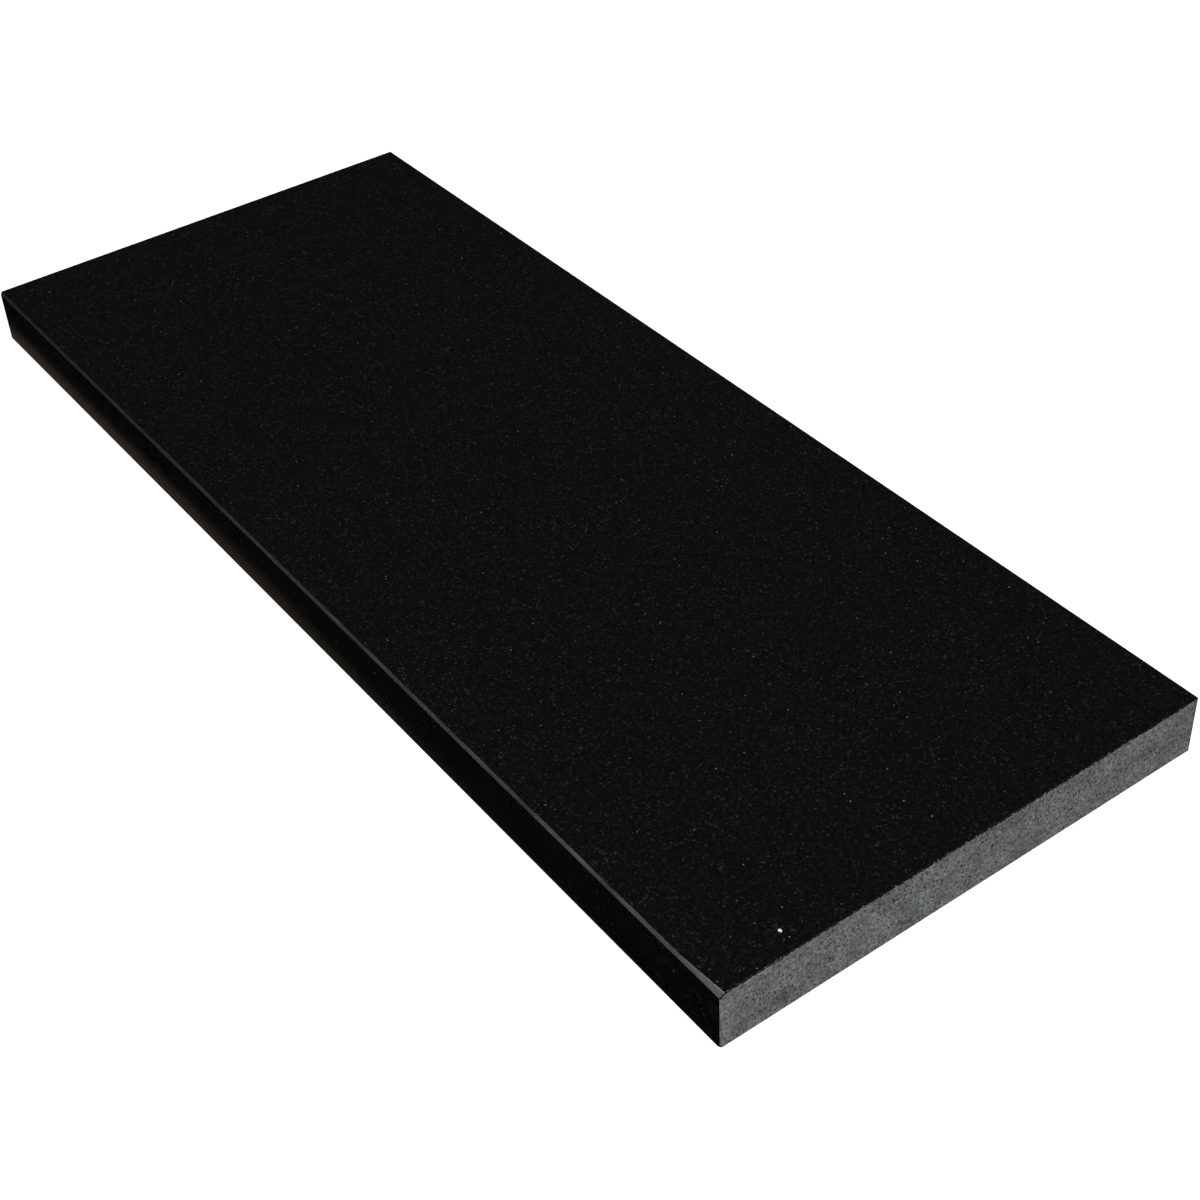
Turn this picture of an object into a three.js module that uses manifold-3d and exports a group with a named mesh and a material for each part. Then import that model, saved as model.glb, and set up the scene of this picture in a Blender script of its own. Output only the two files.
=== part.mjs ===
// A granite slab for leatherworking: one piece of polished black granite that leather is
// stamped, punched and skived on. Millimetres, +Z up. The origin is the centre of the
// underside, +X runs along the length to a sawn end, and -Y is the front long edge.
import * as THREE from 'three';
import Module from 'manifold-3d';
import { mergeVertices } from 'three/addons/utils/BufferGeometryUtils.js';

// The slab is sawn from a polished sheet of stone of nominal three-quarter-inch thickness.
const LENGTH = 381;
const WIDTH = 152.4;
const THICKNESS = 18;

// The arris ground on the front top edge is steep: wider down the side than across the top.
const ARRIS_ACROSS = 0.55;
const ARRIS_DOWN = 1.0;

// The front lower edge is only eased. The edges of the sawn back and ends are left as cut.
const EASED = 0.2;

// At the front corner of the +X end the arris was dressed again by hand. That facet starts
// DRESSED_LENGTH before the end and reaches DRESSED_ACROSS over the top face at the end.
const DRESSED_LENGTH = 15;
const DRESSED_ACROSS = 1.4;

// How far the cutting body reaches past the stone that it takes away.
const CUTTER_MARGIN = 5;

const polishedGranite = new THREE.MeshStandardMaterial({
  name: 'polished_black_granite',
  color: 0x111213,
  roughness: 0.3,
  metalness: 0,
});

const wasm = await Module();
wasm.setup();

// A closed geometry as a solid that can be cut.
function solidFrom(geometry) {
  geometry.deleteAttribute('normal');
  geometry.deleteAttribute('uv');
  const merged = mergeVertices(geometry);
  return new wasm.Manifold(new wasm.Mesh({
    numProp: 3,
    vertProperties: merged.attributes.position.array,
    triVerts: new Uint32Array(merged.index.array),
  }));
}

// A cut solid as a geometry with flat faces.
function geometryFrom(solid) {
  const { vertProperties, triVerts } = solid.getMesh();
  const shared = new THREE.BufferGeometry();
  shared.setAttribute('position', new THREE.BufferAttribute(vertProperties, 3));
  shared.setIndex(new THREE.BufferAttribute(triVerts, 1));
  const geometry = shared.toNonIndexed();
  geometry.computeVertexNormals();
  return geometry;
}

// The cross-section, drawn as seen from the +X end: y to the right and z up.
function crossSection() {
  const side = WIDTH / 2;
  const section = new THREE.Shape();
  section.moveTo(-side + EASED, 0);
  section.lineTo(side, 0);
  section.lineTo(side, THICKNESS);
  section.lineTo(-side + ARRIS_ACROSS, THICKNESS);
  section.lineTo(-side, THICKNESS - ARRIS_DOWN);
  section.lineTo(-side, EASED);
  section.closePath();
  return section;
}

// The section carried along the whole length, from the -X end to the +X end.
function sawnBlank() {
  const blank = new THREE.ExtrudeGeometry(crossSection(), { depth: LENGTH, bevelEnabled: false });
  const across = new THREE.Vector3(0, 1, 0);
  const up = new THREE.Vector3(0, 0, 1);
  const along = new THREE.Vector3(1, 0, 0);
  blank.applyMatrix4(new THREE.Matrix4().makeBasis(across, up, along));
  blank.translate(-LENGTH / 2, 0, 0);
  return blank;
}

// A block lying on the plane of the dressed facet. It covers the stone that dressing removed.
function dressingCutter() {
  const end = LENGTH / 2;
  const front = -WIDTH / 2;
  const start = new THREE.Vector3(end - DRESSED_LENGTH, front + ARRIS_ACROSS, THICKNESS);
  const endOnFront = new THREE.Vector3(end, front, THICKNESS - ARRIS_DOWN);
  const endOnTop = new THREE.Vector3(end, front + DRESSED_ACROSS, THICKNESS);
  const facet = new THREE.Plane().setFromCoplanarPoints(start, endOnFront, endOnTop);
  const reach = DRESSED_LENGTH + CUTTER_MARGIN;
  const cutter = new THREE.BoxGeometry(2 * reach, 2 * reach, reach);
  cutter.translate(0, 0, reach / 2);
  const up = new THREE.Vector3(0, 0, 1);
  cutter.applyQuaternion(new THREE.Quaternion().setFromUnitVectors(up, facet.normal));
  cutter.translate(endOnTop.x, endOnTop.y, endOnTop.z);
  return cutter;
}

const dressedSlab = solidFrom(sawnBlank()).subtract(solidFrom(dressingCutter()));

const graniteSlab = new THREE.Mesh(geometryFrom(dressedSlab), polishedGranite);
graniteSlab.name = 'granite_slab';

const part = new THREE.Group();
part.add(graniteSlab);

export default part;
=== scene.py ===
import math

import bpy
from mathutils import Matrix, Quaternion, Vector, noise


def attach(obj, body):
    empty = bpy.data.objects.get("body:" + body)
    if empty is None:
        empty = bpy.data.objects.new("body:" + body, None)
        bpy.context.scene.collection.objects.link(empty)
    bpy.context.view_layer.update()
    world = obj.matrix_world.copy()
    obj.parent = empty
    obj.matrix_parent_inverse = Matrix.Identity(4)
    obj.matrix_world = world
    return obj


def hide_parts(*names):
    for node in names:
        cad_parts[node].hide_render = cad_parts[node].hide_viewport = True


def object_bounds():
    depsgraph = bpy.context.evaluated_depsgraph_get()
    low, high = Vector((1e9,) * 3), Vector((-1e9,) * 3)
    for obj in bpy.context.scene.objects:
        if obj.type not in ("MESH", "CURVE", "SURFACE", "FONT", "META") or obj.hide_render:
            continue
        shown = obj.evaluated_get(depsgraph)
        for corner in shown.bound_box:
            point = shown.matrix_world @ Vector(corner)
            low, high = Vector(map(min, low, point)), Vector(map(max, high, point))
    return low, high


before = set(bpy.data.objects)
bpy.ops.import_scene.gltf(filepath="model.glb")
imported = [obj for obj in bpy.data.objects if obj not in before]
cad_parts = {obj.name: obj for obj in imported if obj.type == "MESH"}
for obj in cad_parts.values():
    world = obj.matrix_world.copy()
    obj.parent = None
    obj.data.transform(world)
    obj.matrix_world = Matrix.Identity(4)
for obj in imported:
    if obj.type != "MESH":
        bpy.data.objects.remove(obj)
cad_low, cad_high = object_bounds()

# --------------------------------------------------------------------------------------
# Granite slab. One piece of fine-grained black granite, gang-sawn to thickness. Its top
# and front edge are machine-polished, with a ground arris between them. The back and the
# two ends are cut with a diamond saw, which leaves them grey and their corners ragged.
# --------------------------------------------------------------------------------------
MM = 0.001
TINY = 0.001 * MM
length, width, thickness = cad_high - cad_low
underside, top = cad_low.z, cad_high.z
front, near_end = cad_low.y, cad_high.x

# The arris on the front top edge is steeper than 45 degrees, and it is ground by hand, so
# its two borders waver. The front lower edge is only eased.
ARRIS_ACROSS = 0.55 * MM
ARRIS_DOWN = 1.0 * MM
EASED = 0.2 * MM

# The front corner of the near end was dressed a second time, as one flat facet. Along its
# upper border the stone is crushed in a hair-thin strip, as grey as the sawn ends.
DRESSED_LENGTH = 15 * MM
DRESSED_ACROSS = 1.4 * MM
STRIP_START = 9 * MM
STRIP_ACROSS = 0.22 * MM
STRIP_DOWN = 0.1 * MM

# The lower front corner of the near end has lost a small flake.
FLAKE_UP = 1.4 * MM
FLAKE_BACK = 0.7 * MM
FLAKE_ALONG = 0.8 * MM

bpy.ops.object.select_all(action="DESELECT")
bpy.ops.mesh.primitive_cube_add(
    size=1, location=(cad_low + cad_high) / 2, scale=(length, width, thickness)
)
slab = bpy.context.object
slab.name = "polished_slab"
bpy.ops.object.transform_apply(location=True, rotation=True, scale=True)
bpy.ops.object.mode_set(mode="EDIT")


def grind_off(point, outwards):
    """Takes off the stone beyond a point, on the outwards side, and leaves a flat facet."""
    bpy.ops.mesh.select_all(action="SELECT")
    bpy.ops.mesh.bisect(
        plane_co=point,
        plane_no=Vector(outwards).normalized(),
        use_fill=True,
        clear_outer=True,
        threshold=TINY,
    )


grind_off((0, front, top - ARRIS_DOWN), (0, -ARRIS_DOWN, ARRIS_ACROSS))
grind_off((0, front, underside + EASED), (0, -1, -1))
facet_start = Vector((near_end - DRESSED_LENGTH, front + ARRIS_ACROSS, top))
facet_top = Vector((near_end, front + DRESSED_ACROSS, top))
facet_low = Vector((near_end, front, top - ARRIS_DOWN))
facet_outwards = (facet_low - facet_start).cross(facet_top - facet_start).normalized()
grind_off(facet_low, facet_outwards)
strip_start = facet_top.lerp(facet_start, STRIP_START / DRESSED_LENGTH)
strip_top = facet_top + Vector((0, STRIP_ACROSS / 2, 0))
strip_low = facet_top.lerp(facet_low, STRIP_DOWN / ARRIS_DOWN)
grind_off(strip_low, (strip_low - strip_start).cross(strip_top - strip_start))
grind_off((near_end, front, underside + FLAKE_UP), (1 / FLAKE_ALONG, -1 / FLAKE_BACK, -1 / FLAKE_UP))


# Fine mesh for the ends, where the saw broke small chips out of every edge. Rows of faces
# follow the edges, and a coarser grid covers the sawn face between them. The cuts are made
# twice over, so 31 and then 15 of them divide an edge into 512 parts.
ROWS = [0.13 * MM, 0.28 * MM, 0.45 * MM, 0.65 * MM, 0.9 * MM, 1.25 * MM]
ROW_STEP = 0.7 * MM
COLUMN_CUTS = (31, 15)
WAVE_CUTS = (7, 15)
SHORTEST_COLUMN = 2 * MM
SHORTEST_ARRIS = 15 * MM


def places(part):
    """The places of the corners of a face, or of the two ends of an edge."""
    return [slab.data.vertices[index].co for index in part.vertices]


def select_parts(kind, wanted):
    """Selects just the faces or edges of the slab that wanted() is true for."""
    bpy.ops.mesh.select_mode(type=kind)
    bpy.ops.mesh.select_all(action="DESELECT")
    bpy.ops.object.mode_set(mode="OBJECT")
    for part in slab.data.polygons if kind == "FACE" else slab.data.edges:
        part.select = wanted(places(part))
    bpy.ops.object.mode_set(mode="EDIT")


def in_end_rows(corners):
    """True for a part that lies within the rows at one end of the slab."""
    inset = [length / 2 - abs(corner.x) for corner in corners]
    same_end = len({corner.x > 0 for corner in corners}) == 1
    return same_end and max(inset) < ROWS[-1] + TINY


def runs_across(corners):
    """True for an edge in the end rows that runs from the front to the back."""
    reach = corners[1] - corners[0]
    return in_end_rows(corners) and abs(reach.y) > SHORTEST_COLUMN and abs(reach.z) < TINY


def borders_arris(corners):
    """True for a long edge that runs along an arris."""
    reach = corners[1] - corners[0]
    high = min(corner.z for corner in corners) > top - ARRIS_DOWN - TINY
    outer = max(corner.y for corner in corners) < front + ARRIS_ACROSS + TINY
    return high and outer and abs(reach.x) > SHORTEST_ARRIS


def score(place, normal):
    """Scores a line across the selected faces without cutting them apart."""
    bpy.ops.mesh.bisect(plane_co=place, plane_no=normal, threshold=TINY)


for inset in ROWS:
    for end in (-1, 1):
        bpy.ops.mesh.select_all(action="SELECT")
        score((end * (length / 2 - inset), 0, 0), (1, 0, 0))
bpy.ops.mesh.select_all(action="SELECT")
score(facet_start, (1, 0, 0))
between_rows = thickness - 2 * ROWS[-1]
steps = round(between_rows / ROW_STEP)
levels = [underside + inset for inset in ROWS] + [top - inset for inset in ROWS]
levels += [underside + ROWS[-1] + between_rows * step / steps for step in range(1, steps)]
for level in levels:
    select_parts("FACE", in_end_rows)
    score((0, 0, level), (0, 0, 1))
for cuts in COLUMN_CUTS:
    select_parts("EDGE", runs_across)
    bpy.ops.mesh.subdivide(number_cuts=cuts)
for cuts in WAVE_CUTS:
    select_parts("EDGE", borders_arris)
    bpy.ops.mesh.subdivide(number_cuts=cuts)
bpy.ops.object.mode_set(mode="OBJECT")

# Chips. The saw breaks the sharp edge off an end. A chip reaches a little way over the face
# next to the end, and further down the end itself, where the stone is weak. A few deeper
# nicks lie between the chips, and the lower and upright edges have smaller chips.
CHIP_OVER = 0.05 * MM
CHIP_DOWN = 0.7 * MM
CHIP_STEP = 0.7 * MM
CHIP_UNEVENNESS = 1.2
CHIP_LEAST = 0.2
CHIP_LIMIT = 0.8 * MM
NICK_DEPTH = 1.6 * MM
NICK_STEP = 1.7 * MM
NICK_RARITY = 0.45
TOP_CHIPS = 1
LOWER_CHIPS = 0.15
TOP_CHIP_SEED, LOWER_CHIP_SEED, UPRIGHT_CHIP_SEED = 10, 20, 30
NICK_LAYER = 5

# The blade leaves shallow marks on the ends, long and narrow, that run the way it travels.
SAW_MARK_DEPTH = 0.012 * MM
SAW_MARK_LENGTH = 9 * MM
SAW_MARK_STEP = 1.2 * MM

# Both borders of the arris waver, with quicker turns on top of the slow ones.
WAVER = 0.13 * MM
WAVE_LENGTH = 11 * MM
QUICK_WAVES = 2.7
QUICK_SHARE = 0.5
QUICK_LAYER = 3
TOP_BORDER_SEED, LOWER_BORDER_SEED = 8, 12
SMOOTH_UNDER = math.radians(8)


def break_edge(down_end, over_face, along, seed, share):
    """How far a point moves, from its places down the end and over the face next to it."""
    ragged = 1 + CHIP_UNEVENNESS * noise.noise((along / CHIP_STEP, seed, 0))
    ragged = max(CHIP_LEAST, ragged)
    nick = noise.noise((along / NICK_STEP, seed, NICK_LAYER))
    nick = NICK_DEPTH * max(0, nick - NICK_RARITY)
    over = min(CHIP_OVER * ragged + nick, CHIP_LIMIT) * share
    down = min(CHIP_DOWN * ragged + nick, CHIP_LIMIT) * share
    left = 1 - over_face / over - down_end / down
    return max(0, left) / (1 / over + 1 / down)


def depth_in_stone(spot):
    """How deep a point lies below the top, the arris and the dressed facet."""
    below_arris = (front + ARRIS_ACROSS - spot.y) * ARRIS_DOWN + (spot.z - top) * ARRIS_ACROSS
    below_arris /= -math.hypot(ARRIS_ACROSS, ARRIS_DOWN)
    below_facet = (facet_low - spot).dot(facet_outwards)
    return max(0, min(top - spot.z, below_arris, below_facet))


def waver(along, seed):
    """How far a hand-ground border strays sideways at a place along it."""
    slow = noise.noise((along / WAVE_LENGTH, seed, 0))
    quick = noise.noise((along / WAVE_LENGTH * QUICK_WAVES, seed, QUICK_LAYER))
    return WAVER * (slow + QUICK_SHARE * quick)


for vertex in slab.data.vertices:
    spot = vertex.co
    end = math.copysign(1, spot.x)
    side = math.copysign(1, spot.y)
    if spot.z > top - TINY and abs(spot.y - front - ARRIS_ACROSS) < TINY:
        spot.y += waver(spot.x, TOP_BORDER_SEED)
    elif spot.y < front + TINY and abs(spot.z - top + ARRIS_DOWN) < TINY:
        spot.z += waver(spot.x, LOWER_BORDER_SEED)
    on_end = length / 2 - abs(spot.x) < TINY
    inset = length / 2 - abs(spot.x)
    depth = depth_in_stone(spot)
    broken = break_edge(depth, inset, spot.y, TOP_CHIP_SEED + end, TOP_CHIPS)
    spot.x -= end * broken
    spot.z -= broken
    inset = length / 2 - abs(spot.x)
    height = spot.z - underside
    broken = break_edge(height, inset, spot.y, LOWER_CHIP_SEED + end, LOWER_CHIPS)
    spot.x -= end * broken
    spot.z += broken
    inset = length / 2 - abs(spot.x)
    depth = width / 2 - abs(spot.y)
    seed = UPRIGHT_CHIP_SEED + end + 4 * side
    broken = break_edge(depth, inset, spot.z, seed, LOWER_CHIPS)
    spot.x -= end * broken
    spot.y -= side * broken
    if on_end:
        mark = noise.noise((end, spot.y / SAW_MARK_LENGTH, spot.z / SAW_MARK_STEP))
        spot.x -= end * SAW_MARK_DEPTH * (1 + mark)
slab.data.update()
bpy.ops.object.shade_smooth_by_angle(angle=SMOOTH_UNDER)


# The materials work in millimetres of the slab itself, so that every grain has its real size.
# All of them are the same stone, and only the tool that finished it differs.
GRANITE_IOR = 1.55


def linear(srgb):
    """A linear colour from an sRGB hex value."""
    channels = [(srgb >> shift & 255) / 255 for shift in (16, 8, 0)]
    return [c / 12.92 if c <= 0.04045 else ((c + 0.055) / 1.055) ** 2.4 for c in channels] + [1]


def add_node(tree, kind, inputs=None, stops=None, **settings):
    """Adds a node. An input is a value, another node's socket, or a node's first output."""
    node = tree.nodes.new("ShaderNode" + kind)
    for name, value in settings.items():
        setattr(node, name, value)
    for name, value in (inputs or {}).items():
        named = [s for s in node.inputs if s.enabled and s.name == name]
        socket = node.inputs[name] if isinstance(name, int) else named[0]
        if isinstance(value, bpy.types.Node):
            value = next(s for s in value.outputs if s.enabled)
        if isinstance(value, bpy.types.NodeSocket):
            tree.links.new(value, socket)
        else:
            socket.default_value = value
    for number, (position, colour) in enumerate(stops or []):
        ramp = node.color_ramp.elements
        stop = ramp[number] if number < 2 else ramp.new(position)
        stop.position = position
        stop.color = linear(colour)
    return node


def new_finish(name):
    """A new finish of the stone, with its shader and its place in millimetres."""
    finish = bpy.data.materials.new(name)
    finish.use_nodes = True
    slab.data.materials.append(finish)
    tree = finish.node_tree
    stone = tree.nodes["Principled BSDF"]
    stone.inputs["IOR"].default_value = GRANITE_IOR
    inside = add_node(tree, "TexCoord").outputs["Object"]
    place = add_node(tree, "Mapping", {"Vector": inside, "Scale": [1 / MM] * 3})
    return tree, stone, place


# Polished black granite: machine-polished gabbro, near black. The eye sees a very fine dark
# grain, brighter grains in loose clusters, and a rare spark of mica or of brassy sulphide.
CRYSTAL_MM = 0.38
CRYSTAL_WANDER_MM = 0.3
FLECK_MM = 0.5
FLECK_RARITY = 0.9
CLUSTER_MM = 4.0
SPARK_MM = 2.6
SPARK_RADIUS_MM = 0.26
SPARK_RARITY = 5.0
POLISH_ROUGHNESS = (0.06, 0.1)
CREAM = 0xA29F8B

tree, stone, place = new_finish("polished_black_granite")
wander = add_node(tree, "TexNoise", {"Vector": place, "Scale": 1 / CRYSTAL_MM, "Detail": 1.0})
shift = add_node(
    tree,
    "VectorMath",
    {0: wander.outputs["Color"], "Scale": CRYSTAL_WANDER_MM},
    operation="SCALE",
)
grown = add_node(tree, "VectorMath", {0: place, 1: shift}, operation="ADD")
crystals = add_node(tree, "TexVoronoi", {"Vector": grown, "Scale": 1 / CRYSTAL_MM})
crystal = add_node(tree, "SeparateColor", {"Color": crystals.outputs["Color"]})
crystal_shade = add_node(
    tree,
    "ValToRGB",
    {"Fac": crystal.outputs["Red"]},
    stops=[(0.0, 0x040404), (1.0, 0x0E0E0E), (0.5, 0x060606), (0.9, 0x0A0A0A)],
)
crystal_tint = add_node(
    tree,
    "ValToRGB",
    {"Fac": crystal.outputs["Green"]},
    stops=[(0.0, 0xE8ECFF), (1.0, 0xFFF0DC), (0.35, 0xF6FAF4), (0.7, 0xFFFCFA)],
)
ground_mass = add_node(
    tree,
    "Mix",
    {"Factor": 1.0, "A": crystal_shade, "B": crystal_tint},
    data_type="RGBA",
    blend_type="MULTIPLY",
)
clusters = add_node(tree, "TexNoise", {"Vector": place, "Scale": 1 / CLUSTER_MM, "Detail": 2.0})
cluster_share = add_node(
    tree,
    "MapRange",
    {"Value": clusters, "From Min": 0.35, "From Max": 0.7, "To Min": 0.25, "To Max": 1.0},
)
flecks = add_node(tree, "TexVoronoi", {"Vector": grown, "Scale": 1 / FLECK_MM})
fleck = add_node(tree, "SeparateColor", {"Color": flecks.outputs["Color"]})
fleck_tint = add_node(
    tree,
    "ValToRGB",
    {"Fac": fleck.outputs["Green"]},
    stops=[(0.0, 0x1C1E21), (1.0, 0x211F19), (0.4, 0x1F1F1E)],
)
fleck_strength = add_node(
    tree,
    "MapRange",
    {"Value": fleck.outputs["Red"], "From Min": FLECK_RARITY, "From Max": 1.0},
)
fleck_share = add_node(
    tree, "Math", {0: fleck_strength, 1: cluster_share}, operation="MULTIPLY"
)
speckled = add_node(
    tree,
    "Mix",
    {"Factor": fleck_share, "A": ground_mass, "B": fleck_tint},
    data_type="RGBA",
)
sparks = add_node(tree, "TexVoronoi", {"Vector": place, "Scale": 1 / SPARK_MM})
spark = add_node(tree, "SeparateColor", {"Color": sparks.outputs["Color"]})
spark_shape = add_node(
    tree,
    "MapRange",
    {
        "Value": sparks.outputs["Distance"],
        "From Min": SPARK_RADIUS_MM / SPARK_MM,
        "From Max": SPARK_RADIUS_MM / SPARK_MM * 0.5,
    },
)
spark_strength = add_node(
    tree, "Math", {0: spark.outputs["Red"], 1: SPARK_RARITY}, operation="POWER"
)
spark_share = add_node(tree, "Math", {0: spark_shape, 1: spark_strength}, operation="MULTIPLY")
spark_tint = add_node(
    tree,
    "ValToRGB",
    {"Fac": spark.outputs["Green"]},
    stops=[(0.0, 0x4A525A), (1.0, 0x58503A), (0.7, 0x545352)],
)
sparkling = add_node(
    tree,
    "Mix",
    {"Factor": spark_share, "A": speckled, "B": spark_tint},
    data_type="RGBA",
)

# One cream feldspar crystal shows on the top near the dressed corner.
FELDSPAR_PLACE = Vector((near_end - 6 * MM, front + 22.4 * MM, top)) / MM
FELDSPAR_RADII_MM = Vector((0.6, 0.44, 0.5))
inverse = Vector([1 / radius for radius in FELDSPAR_RADII_MM])
around = add_node(
    tree,
    "Mapping",
    {"Vector": grown, "Location": -FELDSPAR_PLACE * inverse, "Scale": inverse},
)
feldspar_distance = add_node(tree, "VectorMath", {0: around}, operation="LENGTH")
feldspar = add_node(
    tree,
    "MapRange",
    {"Value": feldspar_distance.outputs["Value"], "From Min": 1.1, "From Max": 0.8},
)
finished = add_node(
    tree,
    "Mix",
    {"Factor": feldspar, "A": sparkling, "B": linear(CREAM)},
    data_type="RGBA",
)
tree.links.new(finished.outputs["Result"], stone.inputs["Base Color"])
polish = add_node(
    tree,
    "MapRange",
    {
        "Value": crystal.outputs["Blue"],
        "To Min": POLISH_ROUGHNESS[0],
        "To Max": POLISH_ROUGHNESS[1],
    },
)
tree.links.new(polish.outputs["Result"], stone.inputs["Roughness"])

# Ground granite: the arris is cut with a fine wheel and not polished, so it has a dull sheen.
# The dressed facet is painted a lighter grey: painted light, for the light it catches facing up.
GROUND_GRAIN_MM = 0.5
GROUND_ROUGHNESS = (0.31, 0.4)
GROUND_FINISHES = {
    "ground_black_granite": [(0.0, 0x0A0A0B), (1.0, 0x161718)],
    # The dressed facet's lighter shades are painted light.
    "dressed_granite_painted_lighter": [(0.0, 0x18191A), (1.0, 0x282929)],
}
for finish_name, shades in GROUND_FINISHES.items():
    tree, stone, place = new_finish(finish_name)
    grains = add_node(tree, "TexVoronoi", {"Vector": place, "Scale": 1 / GROUND_GRAIN_MM})
    grain = add_node(tree, "SeparateColor", {"Color": grains.outputs["Color"]})
    ground_shade = add_node(tree, "ValToRGB", {"Fac": grain.outputs["Red"]}, stops=shades)
    tree.links.new(ground_shade.outputs["Color"], stone.inputs["Base Color"])
    dullness = add_node(
        tree,
        "MapRange",
        {
            "Value": grain.outputs["Green"],
            "To Min": GROUND_ROUGHNESS[0],
            "To Max": GROUND_ROUGHNESS[1],
        },
    )
    tree.links.new(dullness.outputs["Result"], stone.inputs["Roughness"])

# Sawn granite: the diamond blade crushes the crystals, so black stone turns a matt grey. It
# has dark pits, pale crystals, cloudy patches of blue and of warm grey, and faint streaks.
# The pits are drawn a little larger than they are, because they would not show otherwise.
CLOUD_MM = 6.0
MOTTLE_MM = 1.0
GRAIN_MM = 0.4
PIT_MM = 1.2
PIT_RADIUS_MM = 0.45
PIT_FLOOR = 0.15
PIT_SHADE = 0.1
STREAK_LENGTH_MM = 10.0
STREAK_WIDTH_MM = 0.45
SAWN_ROUGHNESS = 0.8

tree, stone, place = new_finish("sawn_black_granite")
clouds = add_node(tree, "TexNoise", {"Vector": place, "Scale": 1 / CLOUD_MM, "Detail": 3.0})
cloud_shade = add_node(
    tree,
    "ValToRGB",
    {"Fac": clouds},
    stops=[(0.38, 0x4A4A49), (0.62, 0x545758)],
)
mottles = add_node(
    tree,
    "TexNoise",
    {"Vector": place, "Scale": 1 / MOTTLE_MM, "Detail": 3.0, "Roughness": 0.6},
)
mottle_shade = add_node(
    tree,
    "MapRange",
    {"Value": mottles, "From Min": 0.36, "From Max": 0.64, "To Min": 0.76, "To Max": 1.24},
)
grains = add_node(tree, "TexVoronoi", {"Vector": place, "Scale": 1 / GRAIN_MM})
grain = add_node(tree, "SeparateColor", {"Color": grains.outputs["Color"]})
grain_shade = add_node(
    tree,
    "MapRange",
    {"Value": grain.outputs["Red"], "To Min": 0.45, "To Max": 1.55},
)
pits = add_node(tree, "TexVoronoi", {"Vector": place, "Scale": 1 / PIT_MM})
pit = add_node(tree, "SeparateColor", {"Color": pits.outputs["Color"]})
pit_size = add_node(
    tree,
    "MapRange",
    {"Value": pit.outputs["Red"], "To Min": 0.5, "To Max": 1.1},
)
pit_reach = add_node(
    tree, "Math", {0: pit_size, 1: PIT_RADIUS_MM / PIT_MM}, operation="MULTIPLY"
)
pit_shade = add_node(
    tree,
    "MapRange",
    {
        "Value": pits.outputs["Distance"],
        "From Min": PIT_FLOOR,
        "From Max": pit_reach,
        "To Min": PIT_SHADE,
        "To Max": 1.0,
    },
)
streak_place = add_node(
    tree,
    "Mapping",
    {
        "Vector": place,
        "Scale": (1 / STREAK_WIDTH_MM, 1 / STREAK_LENGTH_MM, 1 / STREAK_WIDTH_MM),
    },
)
streaks = add_node(tree, "TexNoise", {"Vector": streak_place, "Scale": 1.0, "Detail": 1.0})
streak_shade = add_node(
    tree,
    "MapRange",
    {"Value": streaks, "From Min": 0.3, "From Max": 0.7, "To Min": 0.93, "To Max": 1.07},
)

# Saw slurry has darkened one patch low on the near end.
STAIN_PLACE = Vector((near_end, front + 17.5 * MM, underside + 4.2 * MM)) / MM
STAIN_RADII_MM = Vector((2.0, 5.0, 3.4))
STAIN_SHADE = 0.6
inverse = Vector([1 / radius for radius in STAIN_RADII_MM])
around = add_node(
    tree,
    "Mapping",
    {"Vector": place, "Location": -STAIN_PLACE * inverse, "Scale": inverse},
)
stain_distance = add_node(tree, "VectorMath", {0: around}, operation="LENGTH")
stain_edge = add_node(
    tree, "Math", {0: stain_distance.outputs["Value"], 1: mottles}, operation="ADD"
)
stain_shade = add_node(
    tree,
    "MapRange",
    {
        "Value": stain_edge,
        "From Min": 0.8,
        "From Max": 1.5,
        "To Min": STAIN_SHADE,
        "To Max": 1.0,
    },
)
shade = grain_shade
for factor in (mottle_shade, pit_shade, streak_shade, stain_shade):
    shade = add_node(tree, "Math", {0: shade, 1: factor}, operation="MULTIPLY")
grey = add_node(
    tree,
    "VectorMath",
    {0: cloud_shade.outputs["Color"], "Scale": shade},
    operation="SCALE",
)
tree.links.new(grey.outputs["Vector"], stone.inputs["Base Color"])
stone.inputs["Roughness"].default_value = SAWN_ROUGHNESS

# Broken granite: in the chips the stone split without being crushed, so it stays dark. A few
# grains are painted pale there, as painted glints where a crystal parted flat.
FLAKE_MM = 0.4
BROKEN_ROUGHNESS = 0.3

tree, stone, place = new_finish("broken_black_granite")
flakes = add_node(tree, "TexVoronoi", {"Vector": place, "Scale": 1 / FLAKE_MM})
flake = add_node(tree, "SeparateColor", {"Color": flakes.outputs["Color"]})
# The palest stop of this ramp is a painted glint in the base colour.
flake_shade_and_glint = add_node(
    tree,
    "ValToRGB",
    {"Fac": flake.outputs["Red"]},
    stops=[(0.0, 0x060606), (1.0, 0x5C5A58), (0.88, 0x11100F)],
)
tree.links.new(flake_shade_and_glint.outputs["Color"], stone.inputs["Base Color"])
stone.inputs["Roughness"].default_value = BROKEN_ROUGHNESS

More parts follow.
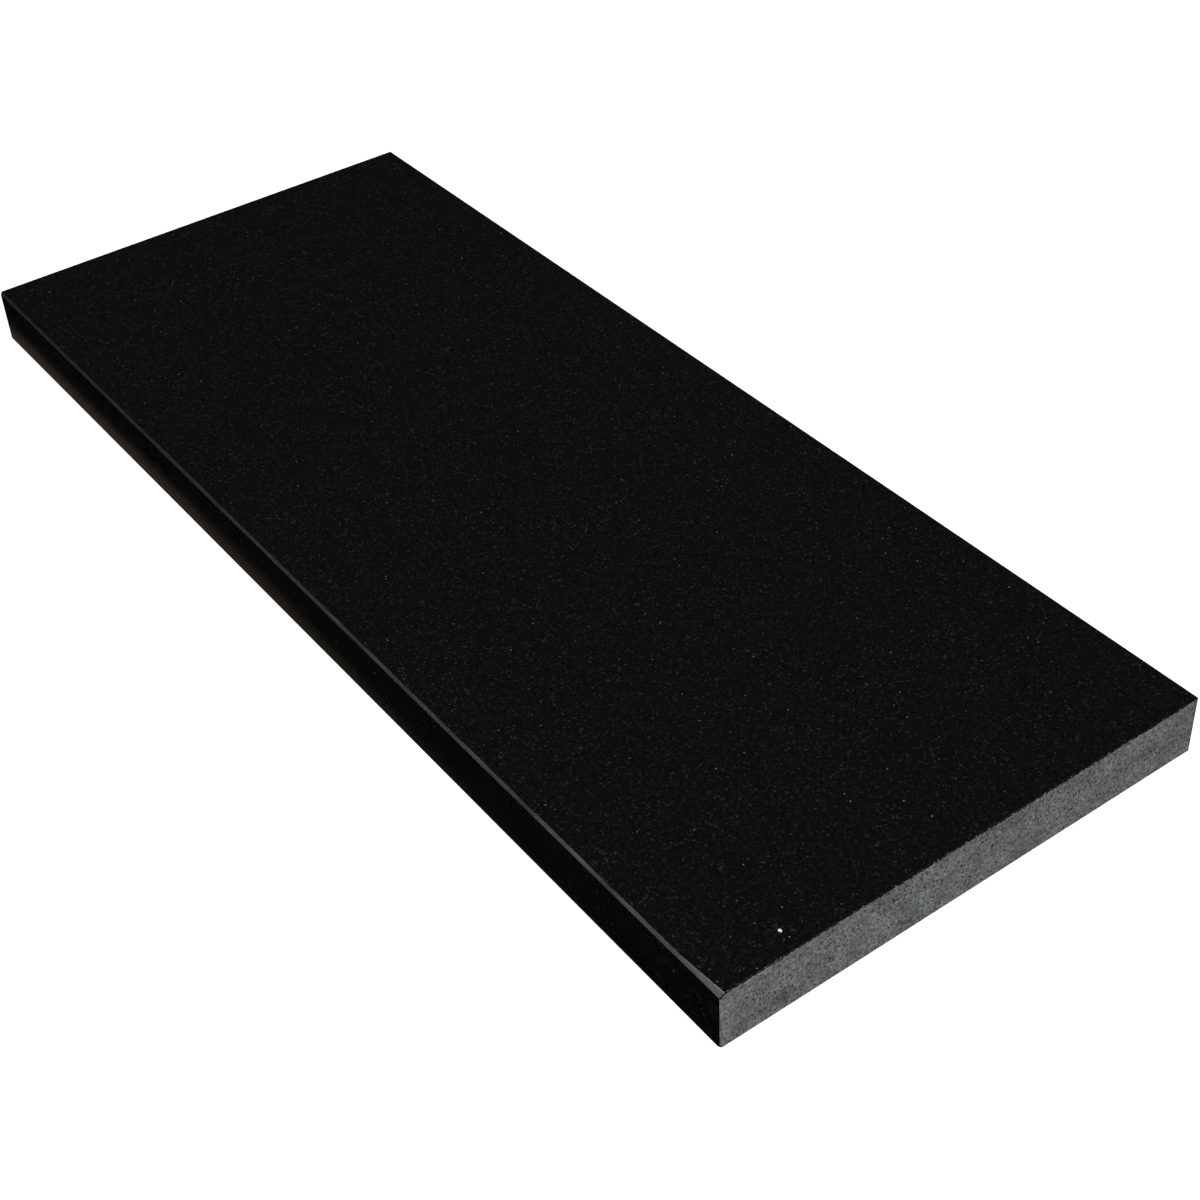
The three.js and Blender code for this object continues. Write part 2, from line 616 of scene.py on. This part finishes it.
# A face takes its finish from the way it faces. One that leans towards an end, or does not
# lean to the front, is a chip. Of the facets along the front edge the arris is the steepest,
# then comes the dressed facet, and the crushed strip above it is nearly level.
POLISHED, GROUND, DRESSED, SAWN, BROKEN = range(5)
SQUARE_ON = 0.9999
DEEPEST_SAW_MARK = 2.2 * SAW_MARK_DEPTH
LEANS_TO_END = 0.12
LEANS_TO_FRONT = -0.2
ARRIS_LEVELNESS = 0.6
DRESSED_LEVELNESS = 0.9
for face in slab.data.polygons:
    facing = face.normal
    inset = length / 2 - abs(face.center.x)
    if facing.z > SQUARE_ON or facing.y < -SQUARE_ON:
        face.material_index = POLISHED
    elif facing.z < -SQUARE_ON or facing.y > SQUARE_ON or inset < DEEPEST_SAW_MARK:
        face.material_index = SAWN
    elif abs(facing.x) > LEANS_TO_END or facing.y > LEANS_TO_FRONT:
        face.material_index = BROKEN
    elif facing.z < ARRIS_LEVELNESS:
        face.material_index = GROUND
    else:
        face.material_index = DRESSED if facing.z < DRESSED_LEVELNESS else SAWN

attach(slab, "root")
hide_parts("granite_slab")

# --------------------------------------------------------------------------------------
# Studio: a light table of opal acrylic, lit evenly from below, under soft lamps. It is left
# out of mirror reflections, and it is bright enough to show no shadow at the slab's foot.
# --------------------------------------------------------------------------------------
TABLE_SIZE = 12

bpy.ops.object.select_all(action="DESELECT")
bpy.ops.mesh.primitive_plane_add(size=TABLE_SIZE, location=(0, 0, underside - TINY))
floor = bpy.context.object
floor.name = "light_table"
floor.visible_glossy = False
opal = bpy.data.materials.new("lit_opal_acrylic")
opal.use_nodes = True
acrylic = opal.node_tree.nodes["Principled BSDF"]
acrylic.inputs["Base Color"].default_value = linear(0x595959)
acrylic.inputs["Roughness"].default_value = 1.0
acrylic.inputs["Emission Color"].default_value = linear(0xFFFFFF)
acrylic.inputs["Emission Strength"].default_value = 1.0
opal.cycles.emission_sampling = "NONE"
floor.data.materials.append(opal)

# A strip of warm card lies along the foot of the front edge. The polished edge mirrors it
# as a brown glow that fades upwards, and it lights nothing else. The card grows dimmer, and
# from about the middle also narrower, towards the near end.
CARD_WIDE = 4.9 * MM
CARD_NARROW = 0.2 * MM
CARD_LIFT = 0.05 * MM
CARD_BRIGHT, CARD_DIM = 0.092, 0.022
CARD_COLOUR = 0xFFE8CC

bpy.ops.object.select_all(action="DESELECT")
bpy.ops.mesh.primitive_plane_add(
    size=1,
    location=(0, front - CARD_WIDE / 2, underside + CARD_LIFT),
    scale=(length, CARD_WIDE, 1),
)
card = bpy.context.object
card.name = "warm_card"
bpy.ops.object.transform_apply(location=True, rotation=True, scale=True)
card.visible_camera = False
card.visible_diffuse = False
card.visible_shadow = False
card.visible_transmission = False
card_glow = bpy.data.materials.new("warm_card_glow")
card_glow.use_nodes = True
tree = card_glow.node_tree
tree.nodes.clear()
inside = add_node(tree, "TexCoord").outputs["Object"]
place = add_node(tree, "SeparateXYZ", {"Vector": inside})
reach = add_node(
    tree,
    "MapRange",
    {
        "Value": place.outputs["X"],
        "From Min": -0.04 * length,
        "From Max": 0.47 * length,
        "To Min": CARD_WIDE,
        "To Max": CARD_NARROW,
    },
)
edge = add_node(tree, "Math", {0: front, 1: reach}, operation="SUBTRACT")
near = add_node(
    tree,
    "MapRange",
    {"Value": place.outputs["Y"], "From Min": edge, "From Max": front},
    interpolation_type="SMOOTHSTEP",
)
fade = add_node(
    tree,
    "MapRange",
    {
        "Value": place.outputs["X"],
        "From Min": -0.2 * length,
        "From Max": 0.25 * length,
        "To Min": CARD_BRIGHT,
        "To Max": CARD_DIM,
    },
)
glow = add_node(tree, "Math", {0: near, 1: fade}, operation="MULTIPLY")
warm = add_node(tree, "Emission", {"Color": linear(CARD_COLOUR), "Strength": glow})
add_node(tree, "OutputMaterial", {"Surface": warm})
card.data.materials.append(card_glow)


def softbox(name, azimuth, elevation, distance, across, watts):
    """A square lamp that looks at the middle of the slab. Azimuth turns from +X to +Y."""
    lamp = bpy.data.lights.new(name, "AREA")
    lamp.size = across
    lamp.energy = watts
    box = bpy.data.objects.new(name, lamp)
    bpy.context.scene.collection.objects.link(box)
    turn, lift = math.radians(azimuth), math.radians(elevation)
    level = math.cos(lift)
    away = Vector((math.cos(turn) * level, math.sin(turn) * level, math.sin(lift)))
    box.location = away * distance
    box.rotation_euler = (-away).to_track_quat("-Z", "Y").to_euler()
    return box


# The overhead lamp is kept out of mirror reflections, so the polish stays black from above.
softbox("overhead_softbox", 0, 90, 1.8, 1.6, 60).visible_glossy = False
softbox("right_softbox", -8, 35, 1.0, 0.5, 7.4)
softbox("front_softbox", -104, 22, 0.95, 0.4, 5.8)
softbox("back_softbox", 135, 9, 1.3, 0.35, 3.5)

# The room is white where it is seen, and lights the slab only faintly.
SEEN_WHITE = 1.0
ROOM_LIGHT = 0.008

world = bpy.data.worlds.new("studio")
world.use_nodes = True
bpy.context.scene.world = world
tree = world.node_tree
tree.nodes.clear()
seen = add_node(tree, "LightPath").outputs["Is Camera Ray"]
strength = add_node(tree, "MapRange", {"Value": seen, "To Min": ROOM_LIGHT, "To Max": SEEN_WHITE})
sky = add_node(tree, "Background", {"Color": (1, 1, 1, 1), "Strength": strength})
add_node(tree, "OutputWorld", {"Surface": sky})
bpy.context.scene.view_settings.view_transform = "Standard"

# --------------------------------------------------------------------------------------
# Camera: a short telephoto a little over half a metre away, looking down past the sawn
# end and the front corner along the whole slab.
# --------------------------------------------------------------------------------------
CAMERA_AZIMUTH = 55.123
CAMERA_ELEVATION = 39.41
CAMERA_ROLL = -2.728
CAMERA_DISTANCE = 1.4518 * length
LENS_MM = 62.26
LENS_SHIFT = -0.014
aim = Vector((0.1797 * length, -0.0862 * width, top))

azimuth, elevation = math.radians(CAMERA_AZIMUTH), math.radians(CAMERA_ELEVATION)
backwards = Vector(
    (
        math.sin(azimuth) * math.cos(elevation),
        -math.cos(azimuth) * math.cos(elevation),
        math.sin(elevation),
    )
)
lens = bpy.data.cameras.new("camera")
camera = bpy.data.objects.new("camera", lens)
bpy.context.scene.collection.objects.link(camera)
camera.location = aim + backwards * CAMERA_DISTANCE
level = backwards.to_track_quat("Z", "Y")
camera.rotation_euler = (level @ Quaternion((0, 0, 1), math.radians(CAMERA_ROLL))).to_euler()
lens.sensor_width = 36
lens.lens = LENS_MM
lens.shift_x = LENS_SHIFT
bpy.context.scene.camera = camera
